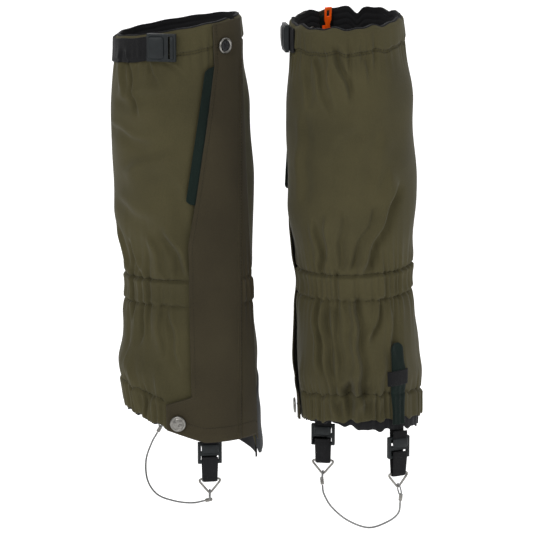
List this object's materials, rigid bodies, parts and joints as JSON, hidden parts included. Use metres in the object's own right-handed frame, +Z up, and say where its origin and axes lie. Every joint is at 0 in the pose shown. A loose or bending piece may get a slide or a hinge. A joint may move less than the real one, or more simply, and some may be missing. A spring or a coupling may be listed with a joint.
{
  "type": "gaiters",
  "caption": "Long hiking gaiters: zipped fabric leg tubes with a snap-down flap, elastic waist, cuff belt and buckle, adjustable hem straps and a wire stirrup.",
  "frame": {"origin": "centre of the left gaiter's cuff opening, where the leg holds it up", "axes": "+Z up along the legs, +X from the left gaiter to the right one, -Y towards the outer side of the left leg"},
  "size_m": [0.3076, 0.1476, 0.5227],
  "materials": {
    "olive_fabric": "matte",
    "flap_fabric": "matte",
    "lining_fabric": "matte",
    "heel_fabric": "matte",
    "tape_fabric": "matte",
    "webbing": "matte",
    "elastic": "matte",
    "plastic": "satin",
    "orange_pull": "satin",
    "nickel": "satin",
    "steel_wire": "satin"
  },
  "bodies": {
    "left_gaiter": {"left_shell": "olive_fabric", "left_cuff_lining": "lining_fabric", "left_waist_elastic": "elastic", "left_hem_lining": "lining_fabric", "left_heel_panel": "heel_fabric", "left_loop_tape": "tape_fabric", "left_snap_stud_upper": "nickel", "left_snap_stud_lower": "nickel", "left_zip_tapes": "tape_fabric", "left_cuff_webbing": "webbing", "left_strap_tongue": "tape_fabric", "left_strap_keeper": "webbing", "left_medial_hem_strap": "webbing", "left_medial_lock": "plastic", "left_medial_webbing": "webbing", "left_medial_ring": "nickel"},
    "left_flap_panel": {"left_flap": "flap_fabric", "left_hook_tape": "tape_fabric", "left_snap_cap_upper": "nickel", "left_snap_cap_lower": "nickel"},
    "left_slider": {"left_zip_slider": "orange_pull"},
    "left_pull_tab": {"left_zip_pull": "orange_pull"},
    "left_belt_buckle": {"left_cuff_buckle": "plastic"},
    "left_stirrup": {"left_lateral_hem_strap": "webbing", "left_lateral_lock": "plastic", "left_lateral_webbing": "webbing", "left_lateral_ring": "nickel", "left_stirrup_cable": "steel_wire", "left_cable_end_lateral": "steel_wire", "left_cable_end_medial": "steel_wire"},
    "right_gaiter": {"right_shell": "olive_fabric", "right_cuff_lining": "lining_fabric", "right_waist_elastic": "elastic", "right_hem_lining": "lining_fabric", "right_heel_panel": "heel_fabric", "right_loop_tape": "tape_fabric", "right_snap_stud_upper": "nickel", "right_snap_stud_lower": "nickel", "right_zip_tapes": "tape_fabric", "right_cuff_webbing": "webbing", "right_strap_tongue": "tape_fabric", "right_strap_keeper": "webbing"},
    "right_flap_panel": {"right_flap": "flap_fabric", "right_hook_tape": "tape_fabric", "right_snap_cap_upper": "nickel", "right_snap_cap_lower": "nickel"},
    "right_slider": {"right_zip_slider": "orange_pull"},
    "right_pull_tab": {"right_zip_pull": "orange_pull"},
    "right_belt_buckle": {"right_cuff_buckle": "plastic"},
    "right_stirrup": {"right_lateral_hem_strap": "webbing", "right_lateral_lock": "plastic", "right_lateral_webbing": "webbing", "right_lateral_ring": "nickel", "right_stirrup_cable": "steel_wire", "right_cable_end_lateral": "steel_wire", "right_cable_end_medial": "steel_wire", "right_medial_hem_strap": "webbing", "right_medial_lock": "plastic", "right_medial_webbing": "webbing", "right_medial_ring": "nickel"}
  },
  "joints": [
    {"name": "left_flap_open", "type": "hinge", "parent": "left_gaiter", "child": "left_flap_panel", "pos_m": [0.06385, -0.02113, -0.2], "axis": [-0.0428, 0.0046, 0.9991], "range_deg": [0, 95]},
    {"name": "left_zip_travel", "type": "slide", "parent": "left_gaiter", "child": "left_slider", "axis": [-0.042, 0.0061, 0.9991], "range_m": [-0.355, 0]},
    {"name": "left_pull_swing", "type": "hinge", "parent": "left_slider", "child": "left_pull_tab", "pos_m": [0.04417, -0.02209, -0.01399], "axis": [-0.4892, -0.872, -0.0153], "range_deg": [0, 150]},
    {"name": "left_buckle_tilt", "type": "hinge", "parent": "left_gaiter", "child": "left_belt_buckle", "pos_m": [-0.00488, -0.06044, -0.01625], "axis": [0, 0, 1], "range_deg": [0, 40]},
    {"name": "left_stirrup_swing", "type": "hinge", "parent": "left_gaiter", "child": "left_stirrup", "pos_m": [0.025, -0.049, -0.405], "axis": [-0.5185, 0.8541, -0.0407], "range_deg": [-12, 12]},
    {"name": "right_flap_open", "type": "hinge", "parent": "right_gaiter", "child": "right_flap_panel", "pos_m": [0.15221, 0.06545, -0.19445], "axis": [0.0375, 0.0431, -0.9984], "range_deg": [0, 95]},
    {"name": "right_zip_travel", "type": "slide", "parent": "right_gaiter", "child": "right_slider", "axis": [-0.036, -0.0424, 0.9985], "range_m": [-0.355, 0]},
    {"name": "right_pull_swing", "type": "hinge", "parent": "right_slider", "child": "right_pull_tab", "pos_m": [0.1424, 0.04592, -0.00868], "axis": [0.9101, 0.4113, 0.0502], "range_deg": [0, 150]},
    {"name": "right_buckle_tilt", "type": "hinge", "parent": "right_gaiter", "child": "right_belt_buckle", "pos_m": [0.10003, 0.0004, -0.01121], "axis": [0, 0, -1], "range_deg": [0, 40]},
    {"name": "right_stirrup_swing", "type": "hinge", "parent": "right_gaiter", "child": "right_stirrup", "pos_m": [0.139, 0.013, -0.402], "axis": [0.8025, -0.5965, 0.0108], "range_deg": [-16, 16]},
    {"name": "pair_spacing", "type": "slide", "parent": "left_gaiter", "child": "right_gaiter", "axis": [1, 0, 0], "range_m": [0, 0.15]}
  ]
}
